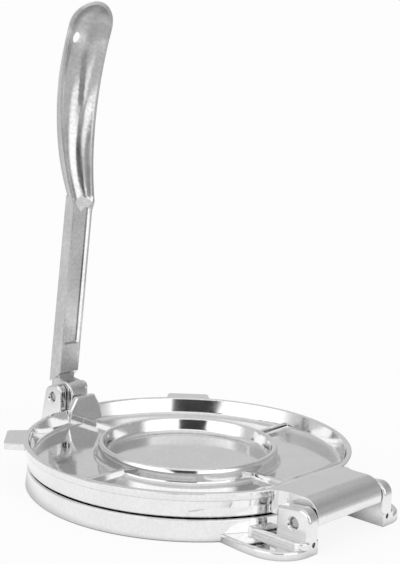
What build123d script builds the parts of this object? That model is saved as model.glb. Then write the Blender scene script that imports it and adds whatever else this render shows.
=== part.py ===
"""A cast-aluminium tortilla press, closed, with its lever standing up.

The base plate carries two pairs of ears: a narrow pair that holds the lever and a wide pair that
holds the lid.  The lid is a ribbed pan whose flat underside presses the dough.  The lever swings
over the lid and its front face bears on the lug at the lid's edge.

Millimetres, +Z up.  The origin is on the plates' axis at the table.  The lever is at -Y, the lid's
hinge is at +Y, and the whole press is symmetric about the plane X = 0.
"""

from math import asin, atan2, cos, degrees, pi, radians, sin, sqrt
import os

from build123d import *

os.makedirs("parts", exist_ok=True)

# ---- the two plates -------------------------------------------------------------------------
plate_radius = 82.5          # both castings at the joint line
base_foot_radius = 83.4      # draft: the base widens down to the table
lid_rim_radius = 84.6        # draft: the lid widens up to its rim
base_top = 10.7              # pressing face of the base
press_gap = 0.8              # between the two pressing faces when closed
edge_round = 0.6             # broken edge of each pressing face
base_plate_thickness = 4.0
base_skirt = 3.4             # wall of the base's hollow underside
under_rib_width = 3.0
under_rib_foot = 3.5         # the ribs under the base stop short of the table

lid_face = base_top + press_gap
lid_floor = 15.0             # upper side of the lid's pan
lid_rim_top = 23.9
rim_land = 2.6               # flat top of the rim
rim_draft = 2.3              # how far the rim's inner wall leans in, down to the floor
pan_fillet = 2.2

ring_top = 22.9
ring_outer_radius = 46.3
ring_inner_radius = 43.7
ring_draft = 0.9
ring_round = 0.9

rib_top = 17.8
rib_width = 2.4
rib_draft = 0.7

# ---- lid: lift tabs and press lug -----------------------------------------------------------
tab_angle = 46.4             # from the lever's side, to both sides
tab_reach = 94.0             # outer edge, from the plates' axis
tab_half_root = 12.6
tab_half_tip = 11.4
tab_thickness = 3.3
tab_below_rim = 0.4

lug_face_y = -79.0
lug_thickness = 3.2
lug_top = 30.7
lug_half_top = 6.6
lug_half_rim = 10.7
lug_half_root = 12.8

# ---- hinge of the lid -----------------------------------------------------------------------
hinge_y, hinge_z = 96.8, 13.4
hinge_ear_inner = 25.5
hinge_ear_thickness = 7.0
hinge_ear_front = 86.8
hinge_ear_top_front, hinge_ear_top_rear = 19.6, 21.9     # its top rises towards the rear
hinge_ear_corner = 6.0
ear_front_corner = 1.8
ear_edge_round = 1.6

tongue_half_rim = 26.2
tongue_half_end = 24.6
tongue_roll_radius = 9.1     # the end is rolled down over the hinge
tongue_roll_at = 96.1
tongue_root = 72.0           # the tongue starts inside the apron
tongue_flare = 2.5           # fillet between the tongue's sides and the rim
apron_start, apron_end = 57.0, 80.0     # where the pan's floor rises to the rim's level
tongue_bottom = 12.2
tongue_wall = 3.4
tongue_cheek = 7.6           # solid ends that hold the pins

foot_half_front = 48.2       # half width over both lobes where they leave the skirt
foot_half_width = 49.6
foot_wide_at = 82.0
foot_thickness = 4.1
foot_corner = 17.5
foot_edge_round = 1.3
foot_rear = 106.4
strip_start = 74.0
strip_outer = 36.6           # raised strip that the ear stands on
strip_top = 7.0
strip_corner = 4.5
strip_edge_round = 1.2
blind_hole = 2.4             # in the rear face of each strip
blind_hole_x, blind_hole_z = 28.6, 4.9
blind_hole_depth = 4.0

# ---- lever ----------------------------------------------------------------------------------
pivot_y, pivot_z = -96.1, 28.3
lever_lean = 5.4             # degrees towards the hinge, as it rests
lever_ear_inner = 5.7
lever_ear_thickness = 4.9
lever_ear_front = 7.1         # ahead of the pin
lever_ear_top_rear, lever_ear_top_front = (-5.2, 5.2), (7.1, 8.4)     # from the pin
lever_ear_rear_corner, lever_ear_front_corner = 4.6, 3.8
lever_ear_edge_round = 1.2
lever_block_end = -106.4

hub_half_width = 5.45
hub_front = 11.4
hub_top = 9.5                # flat above the pin
hub_corner = 8.0             # so round that it clears the lid's rim as the lever turns
hub_heel_radius = 7.2
hub_edge_round = 1.0
neck_front = -0.65           # the neck stands a little behind the shaft's front
shoulder_height = 13.6
shoulder_back = 2.7          # where the shoulders' slope meets their hollow
shoulder_clear = 10.0        # the shoulders' hollow, which clears the ears' front corners

shaft_half_width = 7.25
shaft_front = 0.9            # from the pin's axis
shaft_back_low, shaft_back_high = -7.3, -6.3
shaft_end = 114.0
channel_start = 30.2
channel_end = 108.0
channel_half_width = 5.3
channel_depth = 1.8
channel_edge_round = 0.45

grip_start = 103.0
grip_root = 7.1              # half width where the grip grows out of the shaft
grip_round_centre = 204.4
grip_half_width = 15.0
grip_dip = 9.6               # how far the grip bows back behind the pin's plane
grip_dip_at = 167.0
grip_bow_radius = 155.0
grip_depth = 13.0
grip_root_rise, grip_root_to = 6.4, 150.0     # the grip is shallower towards its root
grip_tip_rise = 2.2          # and a little shallower towards its tip
grip_fullness = 0.5          # 1/3 is a parabola across the grip, 1 is nearly a U
grip_wall = 1.9
grip_rim = 1.4
trough_foot = 104.5          # the trough ends in a point here, seen from the front
trough_point_rise = 7.0      # its arms rise this far in as much width
trough_floor_slope = 34.0    # degrees, up from the front
trough_over = 0.7            # the trough's curve is drawn this far past the rims
hang_hole_height = 198.6
hang_hole = 6.2

# ---- pins -----------------------------------------------------------------------------------
pin_diameter = 5.0
pin_bevel = 0.5
running_fit = 0.06           # radial, between a pin and the piece that turns on it
pin_recess = 1.9             # pin end below the ear's face
pin_mouth = 6.6              # countersink round each pin
pin_mouth_depth = 0.9

# The lever is drawn on two planes through its pin that lean with it, one seen from the front and
# one seen from the side, so that its heights are measured along it.
lean = radians(lever_lean)
pivot = (0, pivot_y, pivot_z)
lever_front = Plane(origin=pivot, x_dir=(-1, 0, 0), z_dir=(0, cos(lean), -sin(lean)))
lever_side = Plane(origin=pivot, x_dir=(0, cos(lean), -sin(lean)), z_dir=(1, 0, 0))
hinge_side = Plane(origin=(0, hinge_y, hinge_z), x_dir=(0, 1, 0), z_dir=(1, 0, 0))
pivot_side = Plane(origin=pivot, x_dir=(0, 1, 0), z_dir=(1, 0, 0))


# ---- base plate -----------------------------------------------------------------------------
# Foot lobe under a hinge ear, on the +X side, with the raised strip along its inner edge.
with BuildPart() as foot:
    with BuildSketch(Plane.XY):
        with BuildLine():
            Polyline(
                (hinge_ear_inner, strip_start), (hinge_ear_inner, foot_rear),
                (foot_half_width, foot_rear), (foot_half_width, foot_wide_at),
                (foot_half_front, 66), close=True,
            )
        make_face()
        fillet(vertices().group_by(Axis.Y)[-1].sort_by(Axis.X)[-1], foot_corner)
    extrude(amount=foot_thickness)
    lobe_rim = edges().filter_by(lambda e: abs(e.center().Z - foot_thickness) < 0.01)
    fillet(lobe_rim.filter_by(lambda e: e.center().X > hinge_ear_inner + 16), foot_edge_round)

    with BuildSketch(Plane.XY):
        with BuildLine():
            Polyline(
                (hinge_ear_inner, strip_start), (hinge_ear_inner, foot_rear),
                (strip_outer, foot_rear), (strip_outer, strip_start), close=True,
            )
        make_face()
        fillet(vertices().group_by(Axis.Y)[-1].sort_by(Axis.X)[-1], strip_corner)
    extrude(amount=strip_top)
    strip_rim = edges().filter_by(lambda e: abs(e.center().Z - strip_top) < 0.01)
    fillet(strip_rim.filter_by(lambda e: e.center().X > strip_outer - 2), strip_edge_round)

with BuildPart() as base_plate:
    # The four ears come first, while their edges are free to be rounded.  Each is drawn on the
    # +X side and mirrored.

    # hinge ear: an upright plate with a round rear corner, flush with the lobe's rear face
    with BuildSketch(Plane.YZ.offset(hinge_ear_inner)):
        with BuildLine():
            Polyline(
                (hinge_ear_front, 1), (hinge_ear_front, hinge_ear_top_front),
                (foot_rear, hinge_ear_top_rear), (foot_rear, 1), close=True,
            )
        make_face()
        fillet(vertices().filter_by(lambda v: v.Y > 2).sort_by(Axis.X)[-1], hinge_ear_corner)
        fillet(vertices().filter_by(lambda v: v.Y > 2).sort_by(Axis.X)[0], ear_front_corner)
    extrude(amount=hinge_ear_thickness)
    fillet(faces().filter_by(Axis.X).edges().filter_by(lambda e: e.center().Z > 2), ear_edge_round)

    # lever ear: its rear edge slopes out to the end of the block it stands on
    with BuildSketch(pivot_side.offset(lever_ear_inner)):
        foot_level = base_top - 1 - pivot_z
        with BuildLine():
            Polyline(
                (lever_block_end - pivot_y, foot_level), lever_ear_top_rear, lever_ear_top_front,
                (lever_ear_front, foot_level), close=True,
            )
        make_face()
        # one corner at a time, because rounding one renews the others
        fillet(vertices().filter_by(lambda v: v.Y > 0).sort_by(Axis.X)[0], lever_ear_rear_corner)
        fillet(vertices().filter_by(lambda v: v.Y > 0).sort_by(Axis.X)[-1], lever_ear_front_corner)
    extrude(amount=lever_ear_thickness)
    lever_ear_edges = edges().filter_by(lambda e: e.center().Y < 0 and e.center().Z > base_top - 2)
    fillet(lever_ear_edges.filter_by(lambda e: abs(e.tangent_at(0.5).X) < 0.1), lever_ear_edge_round)

    add(foot.part)

    # the tongue that carries the lever's ears
    with BuildSketch(Plane.XY):
        with BuildLine():
            Polyline(
                (0, -76), (14.0, -76), (12.4, lever_block_end), (0, lever_block_end), close=True,
            )
        make_face()
        fillet(vertices().group_by(Axis.Y)[0].sort_by(Axis.X)[-1], 3.5)
    extrude(amount=base_top - edge_round)

    mirror(about=Plane.YZ)

    # the round casting: a flat pressing plate with a drafted skirt, hollow below
    with BuildSketch(Plane.XZ):
        with BuildLine():
            Polyline(
                (0, base_top),
                (plate_radius - edge_round, base_top),
                (plate_radius, base_top - edge_round),
                (base_foot_radius, 0.6),
                (base_foot_radius - 0.6, 0),
                (base_foot_radius - base_skirt, 0),
                (plate_radius - base_skirt - 0.8, base_top - base_plate_thickness),
                (0, base_top - base_plate_thickness),
                close=True,
            )
        make_face()
    revolve(axis=Axis.Z)

    # stiffening ring and four ribs in the hollow underside
    with BuildSketch(Plane.XY.offset(under_rib_foot)):
        Circle(ring_outer_radius)
        Circle(ring_outer_radius - under_rib_width, mode=Mode.SUBTRACT)
        with PolarLocations((ring_outer_radius + plate_radius) / 2 - 2, 4, start_angle=45):
            Rectangle(plate_radius - ring_outer_radius, under_rib_width)
    extrude(amount=base_top - 1 - under_rib_foot)

    # pin bores through all four ears, with a countersunk mouth on each outer face
    mouth_step = (pin_mouth - pin_diameter) / 2
    for side, inner, thickness in (
        (hinge_side, hinge_ear_inner, hinge_ear_thickness),
        (pivot_side, lever_ear_inner, lever_ear_thickness),
    ):
        with BuildSketch(side.offset(-inner - thickness)):
            Circle(pin_diameter / 2)
        extrude(amount=2 * (inner + thickness), mode=Mode.SUBTRACT)
        for outer in (inner + thickness, -inner - thickness):
            with BuildSketch(side.offset(outer)):
                Circle(pin_mouth / 2)
            into_ear = -pin_mouth_depth if outer > 0 else pin_mouth_depth
            extrude(amount=into_ear, taper=degrees(atan2(mouth_step, pin_mouth_depth)), mode=Mode.SUBTRACT)

    # blind hole in the rear face, below each hinge ear
    with BuildSketch(Plane.XZ.offset(-foot_rear)):
        with Locations((blind_hole_x, blind_hole_z), (-blind_hole_x, blind_hole_z)):
            Circle(blind_hole / 2)
    extrude(amount=blind_hole_depth, mode=Mode.SUBTRACT)

base_plate.part.label = "base_plate"
export_step(base_plate.part, "parts/base_plate.step")


# ---- top plate (the lid) ---------------------------------------------------------------------
# The lid's apron rises in an S-curve across the pan, from its floor to the rim's level.
def apron_height(y):
    travel = (y - apron_start) / (apron_end - apron_start)
    return lid_floor + (lid_rim_top - lid_floor) * (1 - cos(pi * travel)) / 2


with BuildPart() as apron:
    with BuildSketch(Plane.YZ):
        steps = [apron_start + (apron_end - apron_start) * i / 6 for i in range(7)]
        with BuildLine():
            rise = Spline([(y, apron_height(y)) for y in steps], tangents=((1, 0), (1, 0)))
            Polyline(
                rise @ 1, (plate_radius + 2, lid_rim_top), (plate_radius + 2, lid_face + 1),
                (apron_start, lid_face + 1), rise @ 0,
            )
        make_face()
    extrude(amount=60, both=True)
    with BuildSketch(Plane.XY):
        Circle(lid_rim_radius - rim_land / 2)
    extrude(amount=lid_rim_top + 1, mode=Mode.INTERSECT)

# The tongue carries the apron on to the hinge and is rolled down behind it.
with BuildPart() as tongue:
    roll_z = lid_rim_top + 0.2 - tongue_roll_radius
    tuck = asin((roll_z - tongue_bottom) / tongue_roll_radius)
    roll_foot = (tongue_roll_at + tongue_roll_radius * cos(tuck), tongue_bottom)
    roll_top = (tongue_roll_at, roll_z + tongue_roll_radius)
    with BuildSketch(Plane.YZ):
        with BuildLine():
            Polyline(
                roll_foot, (tongue_root, tongue_bottom), (tongue_root, lid_floor + 1),
                (apron_end + 1, lid_rim_top), roll_top,
            )
            RadiusArc(roll_top, roll_foot, tongue_roll_radius)
        make_face()
    extrude(amount=tongue_half_rim, both=True)
    with BuildSketch(Plane.XY.offset(tongue_bottom)):
        with BuildLine():
            Polyline(
                (0, tongue_root), (tongue_half_rim, tongue_root), (tongue_half_rim, 83),
                (tongue_half_end, hinge_ear_front + 0.7), (tongue_half_end, 110), (0, 110), close=True,
            )
        make_face()
        mirror(about=Plane.YZ)
    extrude(amount=20, mode=Mode.INTERSECT)
    # hollow below, leaving solid cheeks for the pins
    with BuildSketch(Plane.YZ):
        inner_roll = tongue_roll_radius - tongue_wall
        with BuildLine():
            Polyline(
                (tongue_roll_at + inner_roll - 0.8, roll_z), (tongue_roll_at + inner_roll - 0.8, 0),
                (plate_radius + tongue_wall, 0), (plate_radius + tongue_wall, lid_rim_top - tongue_wall),
                (tongue_roll_at - 0.8, roll_z + inner_roll),
            )
            ThreePointArc(
                (tongue_roll_at - 0.8, roll_z + inner_roll),
                (tongue_roll_at - 0.8 + inner_roll * sin(pi / 4), roll_z + inner_roll * cos(pi / 4)),
                (tongue_roll_at + inner_roll - 0.8, roll_z),
            )
        make_face()
    extrude(amount=tongue_half_end - tongue_cheek, both=True, mode=Mode.SUBTRACT)

with BuildPart() as top_plate:
    # press lug: an upright trapezoid at the rim, where the lever's face comes down
    with BuildSketch(Plane.XZ.offset(-lug_face_y)):
        with BuildLine():
            Polyline(
                (-lug_half_root, lid_floor), (-lug_half_rim, lid_rim_top), (-lug_half_top, lug_top),
                (lug_half_top, lug_top), (lug_half_rim, lid_rim_top), (lug_half_root, lid_floor),
                close=True,
            )
        make_face()
        fillet(vertices().group_by(Axis.Y)[-1], 1.2)
    extrude(amount=lug_thickness)
    fillet(faces().filter_by(Axis.Y).edges().filter_by(lambda e: e.center().Z > lid_floor + 1), 0.8)

    # pan: pressing plate, drafted rim and the round ring in the middle, in one turned profile
    rim_inner = lid_rim_radius - rim_land
    with BuildSketch(Plane.XZ):
        with BuildLine():
            Polyline(
                (0, lid_face),
                (plate_radius - edge_round, lid_face),
                (plate_radius, lid_face + edge_round),
                (lid_rim_radius, lid_rim_top),
                (rim_inner, lid_rim_top),
                (rim_inner - rim_draft, lid_floor),
                (ring_outer_radius + ring_draft, lid_floor),
                (ring_outer_radius, ring_top),
                (ring_inner_radius, ring_top),
                (ring_inner_radius - ring_draft, lid_floor),
                (0, lid_floor),
                close=True,
            )
        make_face()
        inner_corners = vertices().filter_by(lambda v: abs(v.Y - lid_floor) < 0.01 and v.X > 1)
        fillet(inner_corners, pan_fillet)
        ring_corners = vertices().filter_by(lambda v: abs(v.Y - ring_top) < 0.01)
        fillet(ring_corners, ring_round)
        rim_corners = vertices().filter_by(lambda v: abs(v.Y - lid_rim_top) < 0.01)
        fillet(rim_corners, 0.5)
    revolve(axis=Axis.Z)

    # four ribs from the ring to the rim
    with BuildSketch(Plane.XY.offset(rib_top)):
        rib_length = rim_inner - ring_outer_radius
        with PolarLocations(ring_outer_radius + rib_length / 2 - 1, 4):
            Rectangle(rib_length, rib_width)
    extrude(amount=-(rib_top - lid_floor + 0.3), taper=-degrees(atan2(rib_draft, rib_top - lid_floor)))

    # two lift tabs, just below the rim's top, either side of the lever
    with BuildSketch(Plane.XY.offset(lid_rim_top - tab_below_rim - tab_thickness)):
        Circle(lid_rim_radius - 0.3)
        for side in (-1, 1):
            with PolarLocations(0, 1, start_angle=-90 + side * tab_angle):
                Polygon(
                    (70, -tab_half_root), (83, -tab_half_root), (tab_reach, -tab_half_tip),
                    (tab_reach, tab_half_tip), (83, tab_half_root), (70, tab_half_root), align=None,
                )
        tips = vertices().filter_by(lambda v: sqrt(v.X**2 + v.Y**2) > tab_reach)
        fillet(tips, 2.0)
        roots = vertices().filter_by(
            lambda v: abs(sqrt(v.X**2 + v.Y**2) - lid_rim_radius + 0.3) < 0.05 and v.Y < -20
        )
        fillet(roots, 2.0)
        Circle(rim_inner + 0.4, mode=Mode.SUBTRACT)
    extrude(amount=tab_thickness)

    add(apron.part)
    add(tongue.part)
    # the tongue's sides run out into the rim in a small flare, drafted like the rim
    flare_x = tongue_half_rim + tongue_flare
    flare_y = sqrt((lid_rim_radius + tongue_flare) ** 2 - flare_x**2)
    on_rim = lid_rim_radius / (lid_rim_radius + tongue_flare)
    with BuildSketch(Plane.XY.offset(lid_rim_top - 0.4)):
        with BuildLine():
            RadiusArc((tongue_half_rim, flare_y), (flare_x * on_rim, flare_y * on_rim), -tongue_flare)
            Polyline(
                (flare_x * on_rim, flare_y * on_rim), (flare_x * on_rim - 0.5, flare_y - 4),
                (tongue_half_rim - 4, flare_y - 4), (tongue_half_rim - 4, flare_y),
                (tongue_half_rim, flare_y),
            )
        make_face()
        mirror(about=Plane.YZ)
    rim_lean = degrees(atan2(lid_rim_radius - plate_radius, lid_rim_top - lid_face))
    extrude(amount=-(lid_rim_top - 0.4 - tongue_bottom), taper=rim_lean)

    # pin bores through the tongue's cheeks
    with BuildSketch(hinge_side.offset(-hinge_ear_inner)):
        Circle(pin_diameter / 2 + running_fit)
    extrude(amount=2 * hinge_ear_inner, mode=Mode.SUBTRACT)

top_plate.part.label = "top_plate"
export_step(top_plate.part, "parts/top_plate.step")


# ---- lever -----------------------------------------------------------------------------------
# Grip: a trough whose rims bow back in one long arc from the shaft's front.  Its sections stand
# square to that arc and are placed by the angle past the arc's lowest point.
grip_turns = [-24.0 + 38.0 * i / 8 for i in range(9)]


def grip_plane(turn):
    across = grip_bow_radius * (1 - cos(radians(turn))) - grip_dip
    along = grip_dip_at + grip_bow_radius * sin(radians(turn))
    tilt = radians(lever_lean + turn)
    return Plane(
        origin=lever_side.from_local_coords((across, along, 0)), x_dir=(1, 0, 0),
        z_dir=(0, sin(tilt), cos(tilt)),
    )


def grip_size(turn):
    """Half width and depth of the grip's section."""
    height = grip_dip_at + grip_bow_radius * sin(radians(turn))
    spread = sin(pi / 2 * (height - grip_start) / (grip_round_centre - grip_start))
    root_rise = grip_root_rise * (max(0.0, grip_root_to - height) / (grip_root_to - grip_start)) ** 2
    toward_tip = max(0.0, height - grip_dip_at) / (grip_round_centre - grip_dip_at)
    tip_rise = grip_tip_rise * (1 - cos(pi * toward_tip)) / 2
    return grip_root + (grip_half_width - grip_root) * spread, grip_depth - root_rise - tip_rise


grip_end = grip_plane(grip_turns[-1])

with BuildPart() as grip:
    # rounded V sections, closed across the rims
    for turn in grip_turns:
        half_width, depth = grip_size(turn)
        with BuildSketch(grip_plane(turn)):
            with BuildLine():
                Bezier(
                    (-half_width, 0), (-half_width * grip_fullness, -depth * 4 / 3),
                    (half_width * grip_fullness, -depth * 4 / 3), (half_width, 0),
                )
                Line((half_width, 0), (-half_width, 0))
            make_face()
    loft()
    # the last section turned half a round, so that the grip ends in a bowl
    with BuildSketch(grip_end):
        with BuildLine():
            Bezier(
                (0, -depth), ((1 + grip_fullness) * half_width / 4, -depth),
                ((1 + grip_fullness) * half_width / 2, -depth * 2 / 3), (half_width, 0),
            )
            Polyline((half_width, 0), (0, 0), (0, -depth))
        make_face()
    revolve(axis=Axis(grip_end.origin, grip_end.y_dir), revolution_arc=-180)
    # nothing of the grip stands proud of the shaft's front
    with BuildSketch(lever_front.offset(shaft_front)):
        with Locations((0, grip_start + 10)):
            Rectangle(60, 40)
    extrude(amount=20, mode=Mode.SUBTRACT)

with BuildPart() as trough:
    # the same sections, drawn in by the wall and carried on past the rims so that they cut clean
    for turn in grip_turns:
        half_width, depth = grip_size(turn)
        half_width, depth = half_width - grip_rim, depth - grip_wall + trough_over
        low = trough_over - depth * 4 / 3
        with BuildSketch(grip_plane(turn)):
            with BuildLine():
                Bezier(
                    (-half_width, trough_over), (-half_width * grip_fullness, low),
                    (half_width * grip_fullness, low), (half_width, trough_over),
                )
                Polyline(
                    (half_width, trough_over), (half_width, 5), (-half_width, 5),
                    (-half_width, trough_over),
                )
            make_face()
    loft()
    with BuildSketch(grip_end):
        with BuildLine():
            Bezier(
                (0, trough_over - depth), ((1 + grip_fullness) * half_width / 4, trough_over - depth),
                ((1 + grip_fullness) * half_width / 2, trough_over - depth * 2 / 3),
                (half_width, trough_over),
            )
            Polyline((half_width, trough_over), (half_width, 5), (0, 5), (0, trough_over - depth))
        make_face()
    revolve(axis=Axis(grip_end.origin, grip_end.y_dir), revolution_arc=-180)
    # its lower end is a point, seen from the front, with a floor that slopes up from there
    slope = radians(trough_floor_slope)
    back_and_up = lever_side.y_dir * sin(slope) - lever_side.x_dir * cos(slope)
    with BuildSketch(lever_front.offset(shaft_front)):
        arm_end = trough_foot + trough_point_rise
        Polygon(
            (0, trough_foot), (trough_point_rise, arm_end), (30, arm_end), (30, 250), (-30, 250),
            (-30, arm_end), (-trough_point_rise, arm_end), align=None,
        )
    extrude(amount=60, dir=back_and_up, both=True, mode=Mode.INTERSECT)

with BuildPart() as lever:
    # shaft: full width from the grip down to the shoulders that ride over the ears
    with BuildSketch(lever_side):
        hollow_front = (-shoulder_back, sqrt(shoulder_clear**2 - shoulder_back**2))
        hollow_back = (shaft_back_low, sqrt(shoulder_clear**2 - shaft_back_low**2))
        with BuildLine():
            Polyline(
                hollow_front, (shaft_front, shoulder_height), (shaft_front, shaft_end),
                (shaft_back_high, shaft_end), (shaft_back_low, 24), hollow_back,
            )
            RadiusArc(hollow_back, hollow_front, shoulder_clear)
        make_face()
    extrude(amount=shaft_half_width, both=True)
    long_edges = edges().filter_by(lambda e: e.length > 60)
    fillet(long_edges, 0.8)

    # hub between the ears, with the neck above it and a raised heel towards the lug
    with BuildSketch(lever_side):
        heel_end = hub_front * cos(radians(40)), -hub_front * sin(radians(40))
        with BuildLine():
            Polyline(
                (hub_front, 0), (hub_front, hub_top), (neck_front, hub_top),
                (neck_front, shoulder_height + 1), (-hub_heel_radius, shoulder_height + 1),
                (-hub_heel_radius, 0),
            )
            RadiusArc((-hub_heel_radius, 0), (0, -hub_heel_radius), -hub_heel_radius)
            Line((0, -hub_heel_radius), heel_end)
            RadiusArc(heel_end, (hub_front, 0), -hub_front)
        make_face()
        hub_crown = vertices().filter_by(lambda v: v.X > hub_front - 0.1 and v.Y > 1)
        fillet(hub_crown, hub_corner)
    extrude(amount=hub_half_width, both=True)
    hub_rim = edges().filter_by(lambda e: abs(abs(e.center().X) - hub_half_width) < 0.01)
    hub_ahead = hub_rim.filter_by(lambda e: lever_side.to_local_coords(e.center()).X > 1)
    fillet(hub_ahead, hub_edge_round)

    add(grip.part)

    # shallow channel down the front of the shaft
    with BuildSketch(lever_front.offset(shaft_front)):
        with Locations((0, (channel_start + channel_end) / 2)):
            RectangleRounded(2 * channel_half_width, channel_end - channel_start, 1.0)
    extrude(amount=-channel_depth, mode=Mode.SUBTRACT)
    front_edges = edges().filter_by(
        lambda e: abs(lever_front.to_local_coords(e.center()).Z - shaft_front) < 0.01
        and abs(e.center().X) < channel_half_width + 0.01
    )
    channel_mouth = front_edges.filter_by(
        lambda e: channel_start - 0.01 < lever_front.to_local_coords(e.center()).Y < channel_end + 0.01
    )
    fillet(channel_mouth, channel_edge_round)

    add(trough.part, mode=Mode.SUBTRACT)

    # hanging hole near the tip
    with BuildSketch(lever_front.offset(-30)):
        with Locations((0, hang_hole_height)):
            Circle(hang_hole / 2)
    extrude(amount=30, mode=Mode.SUBTRACT)

    # bore for the pin
    with BuildSketch(pivot_side.offset(-hub_half_width - 3)):
        Circle(pin_diameter / 2 + running_fit)
    extrude(amount=2 * hub_half_width + 6, mode=Mode.SUBTRACT)

lever.part.label = "lever"
export_step(lever.part, "parts/lever.step")


# ---- pins ------------------------------------------------------------------------------------
# Each is a plain steel pin with bevelled ends, driven into the ears below their faces.
lever_pin_length = 2 * (lever_ear_inner + lever_ear_thickness - pin_recess)
with BuildPart() as lever_pin:
    with BuildSketch(pivot_side.offset(-lever_pin_length / 2)):
        Circle(pin_diameter / 2)
    extrude(amount=lever_pin_length)
    chamfer(edges().filter_by(GeomType.CIRCLE), pin_bevel)

lever_pin.part.label = "lever_pin"
export_step(lever_pin.part, "parts/lever_pin.step")

hinge_pin_inner = tongue_half_end - tongue_cheek + 0.4
hinge_pin_outer = hinge_ear_inner + hinge_ear_thickness - pin_recess
with BuildPart() as hinge_pin_right:
    with BuildSketch(hinge_side.offset(hinge_pin_inner)):
        Circle(pin_diameter / 2)
    extrude(amount=hinge_pin_outer - hinge_pin_inner)
    chamfer(edges().filter_by(GeomType.CIRCLE), pin_bevel)

hinge_pin_right.part.label = "hinge_pin_right"
export_step(hinge_pin_right.part, "parts/hinge_pin_right.step")

with BuildPart() as hinge_pin_left:
    add(hinge_pin_right.part.mirror(Plane.YZ))

hinge_pin_left.part.label = "hinge_pin_left"
export_step(hinge_pin_left.part, "parts/hinge_pin_left.step")
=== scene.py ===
# %% [markdown]
# # A cast-aluminium tortilla press
#
# The press is three castings and three steel pins.  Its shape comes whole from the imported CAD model,
# so this script's work is to make those castings look poured, ground and polished, and to light
# them the way polished metal needs: with a bright tent all round and one dark opening where the
# camera looks in.

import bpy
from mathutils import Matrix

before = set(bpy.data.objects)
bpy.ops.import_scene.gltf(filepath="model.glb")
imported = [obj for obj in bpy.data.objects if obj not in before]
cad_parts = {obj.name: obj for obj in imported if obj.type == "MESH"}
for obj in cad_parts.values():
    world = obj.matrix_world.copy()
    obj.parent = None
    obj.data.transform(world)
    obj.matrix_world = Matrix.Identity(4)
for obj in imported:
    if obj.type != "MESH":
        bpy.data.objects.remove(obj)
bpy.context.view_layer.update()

# %% [markdown]
# ## Modules
#
# bpy reaches everything in the Blender file, bmesh makes simple meshes, and mathutils has the vectors
# and matrices that place things.

# %% Imports
import math

import bmesh
import bpy
from mathutils import Matrix, Vector

print("Blender", bpy.app.version_string)

# %% [markdown]
# ## Camera
#
# The camera stands to the right of the hinge and looks down on the lid at about 17 degrees.  Its
# place was solved from the plates' ellipses and the lever's height, so it is written as a position
# and three directions.  A camera that is aimed at an object with a constraint is quicker to set up,
# but it doesn't hold the small roll that the photograph has.

# %% Camera
camera_place = Vector((0.469318, 0.437725, 0.217589))
camera_right = Vector((-0.68283, 0.72961, 0.03758))
camera_up = Vector((-0.09884, -0.14323, 0.98474))
camera_back = Vector((0.72386, 0.66870, 0.16992))
sensor_width, lens_length = 36.0, 81.85     # millimetres, as on a real camera

camera_data = bpy.data.cameras.new("photo_camera")
camera_data.sensor_width = sensor_width
camera_data.lens = lens_length
camera = bpy.data.objects.new("photo_camera", camera_data)
bpy.context.scene.collection.objects.link(camera)
turn = Matrix((camera_right, camera_up, camera_back)).transposed().to_4x4()
camera.matrix_world = Matrix.Translation(camera_place) @ turn
bpy.context.scene.camera = camera
print("camera", tuple(round(v, 3) for v in camera_place), "lens", camera_data.lens)

# %% [markdown]
# ## Node helpers
#
# Every finish below is a small node tree.  Trees can be wired by hand in the editor, but a written
# one can be read and repeated.  The first helper adds a node with its inputs and settings, and the
# others add the few nodes that are used most: ramps, sums, blends and fades.


# %% Node helpers
def add_node(tree, kind, inputs=None, **settings):
    node = tree.nodes.new(kind)
    for key, value in settings.items():
        setattr(node, key, value)
    for key, value in (inputs or {}).items():
        if isinstance(value, bpy.types.NodeSocket):
            tree.links.new(value, node.inputs[key])
        else:
            node.inputs[key].default_value = value
    return node


def add_ramp(tree, factor, stops, ease="EASE"):
    ramp = add_node(tree, "ShaderNodeValToRGB", {"Fac": factor})
    ramp.color_ramp.interpolation = ease
    while len(ramp.color_ramp.elements) < len(stops):
        ramp.color_ramp.elements.new(0.5)
    for element, (position, grey) in zip(ramp.color_ramp.elements, stops):
        element.position = position
        element.color = (grey, grey, grey, 1)
    return ramp.outputs["Color"]


def add_step(tree, factor, span, before, after, ease="EASE"):
    """A ramp from one value to another over a span of the factor."""
    return add_ramp(tree, factor, ((span[0], before), (span[1], after)), ease)


def add_math(tree, operation, *values):
    return add_node(tree, "ShaderNodeMath", dict(enumerate(values)), operation=operation).outputs[0]


def add_product(tree, first, second):
    return add_math(tree, "MULTIPLY", first, second)


def add_blend(tree, factor, first, second):
    # the Mix node's number sockets are 0, 2 and 3
    return add_node(tree, "ShaderNodeMix", {0: factor, 2: first, 3: second}, data_type="FLOAT").outputs[0]


def add_fade(tree, value, start, end):
    """0 at the start and before it, 1 at the end and past it."""
    span = {"Value": value, "From Min": start, "From Max": end}
    return add_node(tree, "ShaderNodeMapRange", span).outputs["Result"]


def add_shader_mix(tree, factor, first, second):
    return add_node(tree, "ShaderNodeMixShader", {0: factor, 1: first, 2: second}).outputs["Shader"]


print("node helpers are ready")

# %% [markdown]
# ## Directions
#
# The room and the floor are laid out by bearings, as on a map, and a few finishes turn the surface's
# normal.  A normal comes in the world's axes, so it is carried into the object's own axes, turned
# there and carried back.  That way it stays with the lid and the lever when they swing.


# %% Direction helpers
def compass(degrees):
    """The level direction that many degrees from +X towards +Y."""
    return (math.cos(math.radians(degrees)), math.sin(math.radians(degrees)), 0.0)


def along(tree, vector, bearing):
    """How far a vector reaches along a fixed direction."""
    node = add_node(tree, "ShaderNodeVectorMath", {0: vector, 1: bearing}, operation="DOT_PRODUCT")
    return node.outputs["Value"]


def flattened(tree, vector):
    """A vector without its height."""
    node = add_node(tree, "ShaderNodeVectorMath", {0: vector, 1: (1.0, 1.0, 0.0)}, operation="MULTIPLY")
    return node.outputs["Vector"]


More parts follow.
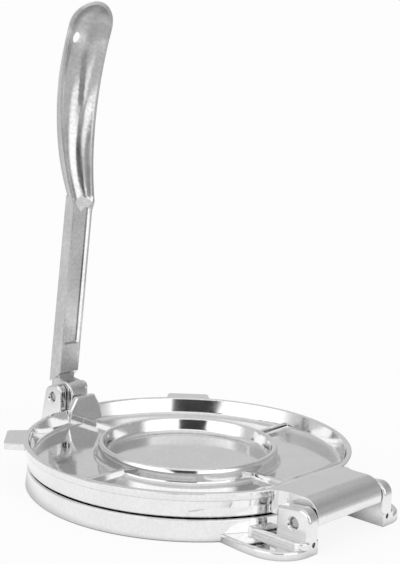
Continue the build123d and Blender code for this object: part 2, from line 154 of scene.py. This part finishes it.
def length_of(tree, vector):
    return add_node(tree, "ShaderNodeVectorMath", {0: vector}, operation="LENGTH").outputs["Value"]


def parts_of(tree, vector):
    return add_node(tree, "ShaderNodeSeparateXYZ", {"Vector": vector}).outputs


def turned_to(tree, vector, start, end):
    """A normal carried from the object's own axes to the world's, or back."""
    node = add_node(
        tree, "ShaderNodeVectorTransform", {"Vector": vector},
        vector_type="NORMAL", convert_from=start, convert_to=end,
    )
    return node.outputs["Vector"]


print("a bearing of 45 degrees is", tuple(round(v, 3) for v in compass(45)))

# %% [markdown]
# ## Materials
#
# Every material starts as an empty tree that reads object coordinates, in metres.  The metals end in
# one metallic shader.  Between these come noises, whose scale is the number of features in a metre,
# and bumps, whose distance is a real depth in metres.


# %% Material helpers
def new_material(name):
    material = bpy.data.materials.new(name)
    material.use_nodes = True
    tree = material.node_tree
    tree.nodes.clear()
    place = add_node(tree, "ShaderNodeTexCoord").outputs["Object"]
    return material, tree, place


def add_noise(tree, place, scale, detail):
    noise = add_node(tree, "ShaderNodeTexNoise", {"Vector": place, "Scale": scale, "Detail": detail})
    return noise.outputs["Fac"]


def add_bump(tree, height, distance, strength=1.0, normal=None):
    inputs = {"Height": height, "Strength": strength, "Distance": distance}
    if normal is not None:
        inputs["Normal"] = normal
    return add_node(tree, "ShaderNodeBump", inputs).outputs["Normal"]


def finish_metal(tree, colour, rough, normal):
    metal = add_node(
        tree, "ShaderNodeBsdfPrincipled",
        {"Base Color": colour, "Roughness": rough, "Metallic": 1.0, "Normal": normal},
    )
    add_node(tree, "ShaderNodeOutputMaterial", {"Surface": metal.outputs["BSDF"]})


print("material helpers are ready")

# %% [markdown]
# ## Cast aluminium
#
# The castings are poured in a mould, ground where they meet, and tumbled or polished.  Four things
# tell the eye so: the surface is never quite flat, the gloss varies in soft patches, the polishing
# leaves fine upright lines, and there are pits.  The waviness, the lines and the pits go into the
# bump, the patches into the roughness and a little into the colour.  A photographed texture could do
# the same, but noise has no seams and needs no unwrapping.  A Bevel node softens the edges, which a
# polishing wheel never leaves sharp.

# %% Cast aluminium
patch_scale, mottle_scale, wave_scale, pit_scale = 60.0, 620.0, 75.0, 420.0
ridge_scale, line_scale = 330.0, 1300.0
upright_draw = (1.0, 1.0, 0.03)             # ridges and lines are drawn out upright
tone_span, mottle_span, gloss_span, blotch_span = (0.3, 0.7), (0.40, 0.62), (0.35, 0.7), (0.40, 0.58)
mottle_share = 0.8                          # of the mottle goes into the small spots
smoothest, roughest = 0.7, 1.4              # times the finish's own roughness
pit_rim, pit_depth, pit_strength = 0.09, 0.00004, 0.35
unreached_fade, unreached_roughness = 0.012, 0.36
blotch_dark, blotch_light = 0.88, 1.24      # times the finish's own colour


def cast_aluminium(name, tone, roughness, wave_depth, line_depth, edge_radius,
                   mottle=0.05, ridge_depth=0.0, lie=None, rough_above=None):
    """A cast finish.  lie, if given, turns the surface's normal with nodes of its own, and above
    the height rough_above the polishing wheel has not reached."""
    material, tree, place = new_material(name)
    patches = add_noise(tree, place, patch_scale, 4.0)
    mottles = add_noise(tree, place, mottle_scale, 5.0)
    clean = add_step(tree, patches, tone_span, tone * (1.0 - mottle), tone)
    dulled = add_step(tree, mottles, mottle_span, 1.0 - mottle_share * mottle, 1.0)
    colour = add_product(tree, clean, dulled)
    rough = add_step(tree, patches, gloss_span, roughness * smoothest, roughness * roughest)
    if rough_above is not None:
        height = parts_of(tree, place)["Z"]
        unreached = add_fade(tree, height, rough_above, rough_above + unreached_fade)
        rough = add_blend(tree, unreached, rough, unreached_roughness)
        blotches = add_step(tree, patches, blotch_span, blotch_dark, blotch_light)
        colour = add_product(tree, colour, add_blend(tree, unreached, 1.0, blotches))

    normal = add_node(tree, "ShaderNodeBevel", {"Radius": edge_radius}, samples=4).outputs["Normal"]
    if lie is not None:
        normal = lie(tree, place, normal)
    drawn = add_node(tree, "ShaderNodeMapping", {"Vector": place, "Scale": upright_draw})
    upright = drawn.outputs["Vector"]
    cells = add_node(tree, "ShaderNodeTexVoronoi", {"Vector": place, "Scale": pit_scale})
    pits = add_step(tree, cells.outputs["Distance"], (0.0, pit_rim), 0.0, 1.0)
    normal = add_bump(tree, add_noise(tree, place, wave_scale, 1.0), wave_depth, normal=normal)
    normal = add_bump(tree, add_noise(tree, upright, ridge_scale, 1.0), ridge_depth, normal=normal)
    normal = add_bump(tree, add_noise(tree, upright, line_scale, 2.0), line_depth, normal=normal)
    normal = add_bump(tree, pits, pit_depth, pit_strength, normal)
    finish_metal(tree, colour, rough, normal)
    return material


print("waves", round(1000 / wave_scale, 1), "mm long, pits", round(1000 / pit_scale, 1), "mm apart")

# %% [markdown]
# ## The base's casting
#
# The base and the lid are polished alike: bright, with waves a few hundredths of a millimetre deep.
# One set of numbers serves both, so that they can't drift apart.

# %% Base casting
polish = {
    "tone": 0.84, "roughness": 0.09,
    "wave_depth": 0.00004, "line_depth": 0.0000012, "edge_radius": 0.0007,
}
base_casting = cast_aluminium("polished_base", **polish)
print(base_casting.name, len(base_casting.node_tree.nodes), "nodes")

# %% [markdown]
# ## The lid's ring
#
# The raised ring in the lid is hand-finished, and its walls lean back a little more than the mould
# left them.  That small lean decides what the polished wall shows: the room instead of the pan's
# own floor.  It is far too small to model, so it is added to the normal, on the ring's walls alone.

# %% Lid casting
ring_inside, ring_middle, ring_outside = 0.040, 0.045, 0.050
ring_zone = ((0.0, 0.0), (0.2, 1.0), (0.8, 1.0), (1.0, 0.0))    # from its inside to its outside
ring_crown, crown_fade = 0.0205, 0.0008     # above the crown's height the outer wall leans too
wall_span, ring_lean = (0.3, 0.98), 0.16    # steep faces lean in full, nearly flat ones not at all


def ring_walls(tree, place, normal):
    """The normal with the lean of the ring's walls added to it."""
    facing = turned_to(tree, normal, "WORLD", "OBJECT")
    radius = length_of(tree, flattened(tree, place))
    height = parts_of(tree, place)["Z"]
    zone = add_ramp(tree, add_fade(tree, radius, ring_inside, ring_outside), ring_zone)
    crown = add_fade(tree, height, ring_crown - crown_fade, ring_crown + crown_fade)
    inner = add_math(tree, "LESS_THAN", radius, ring_middle)
    zone = add_product(tree, zone, add_math(tree, "MAXIMUM", crown, inner))
    steep = add_step(tree, parts_of(tree, facing)["Z"], wall_span, 1.0, 0.0)
    lean = add_product(tree, add_product(tree, zone, steep), ring_lean)
    lift = add_node(tree, "ShaderNodeCombineXYZ", {"Z": lean}).outputs["Vector"]
    leaning = add_node(tree, "ShaderNodeVectorMath", {0: facing, 1: lift}, operation="ADD")
    return turned_to(tree, leaning.outputs["Vector"], "OBJECT", "WORLD")


lid_casting = cast_aluminium("polished_lid", **polish, lie=ring_walls)
print(lid_casting.name, "ring from", ring_inside, "to", ring_outside, "m")

# %% [markdown]
# ## The lever's shape in the light
#
# The trough in the lever's grip is flatter along its floor and steeper at its sides than a plain
# curve, which gathers the dark reflection into one narrow streak.  The finishing wheel does that to
# a casting by a few tenths of a millimetre, so it goes into the normal and not into the mesh: the
# slope across the trough is raised to a power, on the faces that look in towards the lever's middle.
# A cap keeps the steepest of them from showing as upright.  Lower down, the same faces are the walls
# of the shaft's channel.  The wheel has rounded them off, so they are taken to face more to the
# front and a little up, and show as a bright line.

# %% Lever's normals
trough_low, trough_high = 0.126, 0.142      # the trough starts between these heights
bowl_low, bowl_high = 0.205, 0.242          # and turns into the tip's bowl between these
slope_power, slope_scale = 1.4, 0.68
steepest = 2.1                              # no slope in the trough shows as steeper than this
worn_in, worn_front, worn_up = 0.45, 0.87, 0.18     # how far a worn channel wall looks each way
worn_from, worn_to = 0.35, 0.6              # how far it looks in before it counts as worn


def trough_slope(tree, inward):
    """How far the surface looks in, once the slope across the trough is raised to its power."""
    squared = add_product(tree, inward, inward)
    rest = add_math(tree, "SQRT", add_math(tree, "SUBTRACT", 1.0, squared))
    slope = add_math(tree, "POWER", add_math(tree, "DIVIDE", inward, rest), slope_power)
    slope = add_math(tree, "MINIMUM", add_product(tree, slope, slope_scale), steepest)
    return add_product(tree, slope, rest)


def trough_walls(tree, place, normal):
    """The normal as the wheel left it, in the grip's trough and on the channel's walls."""
    facing = parts_of(tree, turned_to(tree, normal, "WORLD", "OBJECT"))
    where = parts_of(tree, place)
    side = add_math(tree, "SIGN", where["X"])
    inward = add_product(tree, add_product(tree, facing["X"], side), -1.0)
    inward = add_math(tree, "MAXIMUM", inward, 0.0)
    looks_in = add_math(tree, "GREATER_THAN", inward, 0.0)
    in_grip = add_fade(tree, where["Z"], trough_low, trough_high)
    below_bowl = add_fade(tree, where["Z"], bowl_high, bowl_low)
    worn = add_fade(tree, inward, worn_from, worn_to)

    grip_inward = add_blend(tree, below_bowl, inward, trough_slope(tree, inward))
    shaft_inward = add_blend(tree, worn, inward, worn_in)
    new_inward = add_blend(tree, in_grip, shaft_inward, grip_inward)
    new_x = add_product(tree, add_product(tree, new_inward, side), -1.0)
    new_y = add_blend(tree, worn, facing["Y"], worn_front)
    new_z = add_blend(tree, worn, facing["Z"], worn_up)
    turned = add_node(
        tree, "ShaderNodeCombineXYZ",
        {"X": add_blend(tree, looks_in, facing["X"], new_x),
         "Y": add_blend(tree, in_grip, new_y, facing["Y"]),
         "Z": add_blend(tree, in_grip, new_z, facing["Z"])},
    )
    return turned_to(tree, turned.outputs["Vector"], "OBJECT", "WORLD")


print("trough from", trough_low, "to", bowl_high, "m above the table")

# %% [markdown]
# ## The lever's casting
#
# The lever is not polished but satin, with ridges along its length where it was linished.  The wheel
# doesn't get into the tip's bowl, so from there up the metal is rougher and blotched.

# %% Lever casting
lever_casting = cast_aluminium(
    "satin_lever", tone=0.76, roughness=0.16, wave_depth=0.00006, line_depth=0.000003,
    edge_radius=0.0003, mottle=0.12, ridge_depth=0.00004, lie=trough_walls, rough_above=0.217,
)
print(lever_casting.name, len(lever_casting.node_tree.nodes), "nodes")

# %% [markdown]
# ## Pin steel
#
# The pins are plain turned steel.  They are darker than the castings, with fine turning lines round
# them.  Modelled grooves would be too fine to see, so the lines are one noise that is squeezed along
# the pins, which all lie along X.

# %% Pin steel
turning_lines = (4000.0, 300.0, 300.0)      # features in a metre, along each axis
scratch_span, scratch_depth, scratch_strength = (0.3, 0.7), 0.00002, 0.5
pin_tones, pin_roughness = (0.42, 0.52), (0.28, 0.40)


def turned_steel(name):
    material, tree, place = new_material(name)
    squeezed = add_node(tree, "ShaderNodeMapping", {"Vector": place, "Scale": turning_lines})
    scratches = add_noise(tree, squeezed.outputs["Vector"], 1.0, 3.0)
    colour = add_step(tree, scratches, scratch_span, *pin_tones)
    rough = add_step(tree, scratches, scratch_span, *pin_roughness)
    finish_metal(tree, colour, rough, add_bump(tree, scratches, scratch_depth, scratch_strength))
    return material


pin_steel = turned_steel("turned_pin_steel")
print(pin_steel.name, len(pin_steel.node_tree.nodes), "nodes")

# %% [markdown]
# ## Dress the nodes
#
# Each CAD node gets its finish.  The meshes could be given a finish face by face, but every piece of
# the press is one metal all over, so each takes one material and stays as it was packed.

# %% Dress the nodes
finishes = {
    "base_plate": base_casting, "top_plate": lid_casting, "lever": lever_casting,
    "lever_pin": pin_steel, "hinge_pin_right": pin_steel, "hinge_pin_left": pin_steel,
}
for node_name, material in finishes.items():
    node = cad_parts[node_name]
    node.data.materials.clear()
    node.data.materials.append(material)
    print(node_name, len(node.data.polygons), "faces", material.name)

# %% [markdown]
# ## Floor
#
# The photograph has no visible floor, only white.  The floor here is a large pale disc that the
# camera sees as white and that still takes the press's soft shadow.  It lies a hair below the press,
# so that no two surfaces share one height.

# %% Floor
floor_radius, floor_drop = 6.0, 0.0002
floor_mesh = bpy.data.meshes.new("floor")
floor_shape = bmesh.new()
bmesh.ops.create_circle(floor_shape, cap_ends=True, segments=64, radius=floor_radius)
bmesh.ops.translate(floor_shape, verts=floor_shape.verts, vec=(0, 0, -floor_drop))
floor_shape.to_mesh(floor_mesh)
floor_shape.free()
floor = bpy.data.objects.new("floor", floor_mesh)
bpy.context.scene.collection.objects.link(floor)
print("floor radius", floor_radius, "m")

# %% [markdown]
# ## The floor in the metal
#
# Polished metal shows the floor as well as the room, and what it shows of the floor here is painted
# reflection.  There is a painted white pool round the press, which brightens the outside of the
# plates, and grey farther off, which is what the lever's faces show.  The grey is painted a little
# lighter on the lever's side.  Past the hinge the floor runs out to a painted white sheet with a
# painted dark gap in it, a wedge that opens away from the press.  Together with the tent's opening,
# that painted gap gives the dark streak down the grip's trough.  Close under the press the floor's
# glow is painted darker, painted shade as in any corner.  Painted cards would do all this in a real
# studio.  Here the distances are in metres from the press's middle, and the bearings in degrees from
# +X towards +Y.

# %% Floor in the metal
# painted reflections: the floor's glow in the metal is a painted pool, far grey, lighter side, white
# sheet and dark gap
pool_glow, far_glow, side_glow, sheet_glow, gap_glow = 1.04, 0.62, 0.80, 1.30, 0.34
pool_reach, sheet_reach, gap_reach = (0.13, 0.23), (0.40, 0.75), (0.22, 0.28)
sheet_bearing, side_bearing = 70.0, -45.0
sheet_spread, side_spread = (0.70, 0.86), (0.50, 0.80)      # cosines of the angle from the bearing
gap_apex, gap_right, gap_left, gap_edge = (-0.136, 0.087, 0.0), 36.0, 65.0, (0.0, 0.02)
# how far the painted shade under the press reaches, in metres
painted_shade_reach = 0.016


def painted_dark_gap(tree, place, distance):
    """The painted dark gap: 1 inside the wedge between its two bearings, seen from its apex."""
    from_apex = add_node(tree, "ShaderNodeVectorMath", {0: place, 1: gap_apex}, operation="SUBTRACT")
    past_right = along(tree, from_apex.outputs["Vector"], compass(gap_right + 90))
    short_of_left = along(tree, from_apex.outputs["Vector"], compass(gap_left - 90))
    wedge = add_product(
        tree,
        add_step(tree, past_right, gap_edge, 0.0, 1.0),
        add_step(tree, short_of_left, gap_edge, 0.0, 1.0),
    )
    return add_product(tree, wedge, add_step(tree, distance, gap_reach, 0.0, 1.0))


def painted_floor_reflection(tree, place, distance):
    """The floor's painted glow as polished metal shows it, with painted shade close under the press."""
    level = add_node(tree, "ShaderNodeVectorMath", {0: place}, operation="NORMALIZE").outputs["Vector"]
    to_side = along(tree, level, compass(side_bearing))
    to_sheet = along(tree, level, compass(sheet_bearing))
    glow = add_step(tree, to_side, side_spread, far_glow, side_glow)
    glow = add_blend(tree, add_step(tree, distance, pool_reach, 1.0, 0.0), glow, pool_glow)
    sheet = add_product(
        tree,
        add_step(tree, to_sheet, sheet_spread, 0.0, 1.0),
        add_step(tree, distance, sheet_reach, 0.0, 1.0),
    )
    glow = add_blend(tree, sheet, glow, sheet_glow)
    glow = add_blend(tree, painted_dark_gap(tree, place, distance), glow, gap_glow)
    # painted shade: ambient occlusion darkens the floor's glow close under the press
    painted_contact_shade = add_node(tree, "ShaderNodeAmbientOcclusion", {"Distance": painted_shade_reach}, samples=8)
    return add_product(tree, glow, painted_contact_shade.outputs["AO"])


print("white sheet at", sheet_bearing, "degrees, dark gap from", gap_right, "to", gap_left)

# %% [markdown]
# ## The floor for the camera
#
# The camera sees a nearly white floor with the press's shadow on it.  A brighter lamp would whiten
# the floor too, but it would bleach the metal, so the Light Path node tells the shader who is looking.
# Far from the press the camera sees the floor as it sees the backdrop, so that there is no horizon.

# %% Floor material
card_grey = 0.9
camera_glow, camera_share = 1.02, 0.85      # the rest is the card, which takes the shadow
backdrop_white, haze_reach = 0.98, (0.25, 0.8)


def pale_card(name):
    material, tree, place = new_material(name)
    ray = add_node(tree, "ShaderNodeLightPath").outputs
    distance = length_of(tree, place)
    glow = add_blend(tree, ray["Is Camera Ray"], painted_floor_reflection(tree, place, distance), camera_glow)
    seen = add_product(tree, ray["Is Camera Ray"], camera_share)
    seen = add_math(tree, "MAXIMUM", seen, ray["Is Glossy Ray"])
    haze = add_product(tree, add_step(tree, distance, haze_reach, 0.0, 1.0), ray["Is Camera Ray"])

    card = add_node(tree, "ShaderNodeBsdfDiffuse", {"Color": (card_grey, card_grey, card_grey, 1)})
    white = add_node(tree, "ShaderNodeEmission", {"Strength": glow})
    backdrop = add_node(tree, "ShaderNodeEmission", {"Strength": backdrop_white})
    shown = add_shader_mix(tree, seen, card.outputs["BSDF"], white.outputs["Emission"])
    shown = add_shader_mix(tree, haze, shown, backdrop.outputs["Emission"])
    add_node(tree, "ShaderNodeOutputMaterial", {"Surface": shown})
    return material


floor_material = pale_card("pale_floor")
floor_mesh.materials.append(floor_material)
print(floor_material.name, len(floor_material.node_tree.nodes), "nodes")

# %% [markdown]
# ## Light tent
#
# Polished metal is photographed in a tent, because it shows whatever stands round it, and a bare
# lamp would show in it as one bright patch.  So the world itself is the tent: two bright panels on
# the camera's side, a dark opening between them where the camera looks in, a mid grey wall behind
# the press, and a darker corner past the hinge.  The opening gives the dark bands on the lid's rim
# and on the ring.  Towards the floor it narrows and pales to grey.  The world reads directions only,
# so the bands belong to the room and not to the camera.  Heights are sines of the angle above the
# floor.

# %% Light tent
opening_right, opening_left = 15.0, 57.0        # degrees from +X towards +Y
opening_bearing = (opening_right + opening_left) / 2
opening_edge, opening_top = (0.0, 0.03), (0.46, 0.50)
narrow_heights, narrow_by = (0.17, 0.26), 0.20  # the right side comes in below these heights
opening_heights, opening_glows = (0.0, 0.22), (0.42, 0.04)
panel_spread, panel_top, panel_glow = (0.15, 0.45), (0.60, 0.80), 1.15
wall_glows = ((0.0, 0.56), (0.25, 0.54), (0.50, 0.46), (0.75, 0.62), (1.0, 0.70))
corner_bearing, corner_spread, corner_share = 150.0, (0.35, 0.75), 0.68


def tent_opening(tree, level, height):
    """1 inside the opening, with a straight edge on each side and at the top."""
    past_right = along(tree, level, compass(opening_right + 90))
    narrowing = add_step(tree, height, narrow_heights, narrow_by, 0.0, "LINEAR")
    past_right = add_math(tree, "SUBTRACT", past_right, narrowing)
    short_of_left = along(tree, level, compass(opening_left - 90))
    between = add_product(
        tree,
        add_step(tree, past_right, opening_edge, 0.0, 1.0, "LINEAR"),
        add_step(tree, short_of_left, opening_edge, 0.0, 1.0, "LINEAR"),
    )
    return add_product(tree, between, add_step(tree, height, opening_top, 1.0, 0.0, "LINEAR"))


def tent_glow(tree, direction):
    """How bright the tent is in a direction."""
    height = parts_of(tree, direction)["Z"]
    flat = flattened(tree, direction)
    level = add_node(tree, "ShaderNodeVectorMath", {0: flat}, operation="NORMALIZE").outputs["Vector"]
    panels = add_product(
        tree,
        add_step(tree, along(tree, level, compass(opening_bearing)), panel_spread, 0.0, 1.0),
        add_step(tree, height, panel_top, 1.0, 0.0),
    )
    to_corner = along(tree, direction, compass(corner_bearing))
    corner = add_step(tree, to_corner, corner_spread, 1.0, corner_share)
    glow = add_product(tree, add_ramp(tree, height, wall_glows), corner)
    glow = add_blend(tree, panels, glow, panel_glow)
    opening_glow = add_step(tree, height, opening_heights, *opening_glows)
    return add_blend(tree, tent_opening(tree, level, height), glow, opening_glow)


print("opening at", opening_bearing, "degrees, from", opening_right, "to", opening_left)

# %% [markdown]
# ## World
#
# The metal and the floor see the tent.  The camera sees a plain white backdrop in its place, which
# leaves the light on the press as it is.

# %% World
tent_strength = 1.25
world = bpy.data.worlds.new("light_tent")
bpy.context.scene.world = world
world.use_nodes = True
tree = world.node_tree
tree.nodes.clear()
direction = add_node(tree, "ShaderNodeTexCoord").outputs["Generated"]
strength = add_product(tree, tent_glow(tree, direction), tent_strength)
inside = add_node(tree, "ShaderNodeBackground", {"Color": (1, 1, 1, 1), "Strength": strength})
backdrop = add_node(tree, "ShaderNodeBackground", {"Color": (1, 1, 1, 1), "Strength": backdrop_white})
for_camera = add_node(tree, "ShaderNodeLightPath").outputs["Is Camera Ray"]
shown = add_shader_mix(tree, for_camera, inside.outputs["Background"], backdrop.outputs["Background"])
add_node(tree, "ShaderNodeOutputWorld", {"Surface": shown})
print(world.name, len(tree.nodes), "nodes, strength", tent_strength)

# %% [markdown]
# ## Finish
#
# The plain view transform shows greys as they are written.

# %% Finish
bpy.context.scene.view_settings.view_transform = "Standard"
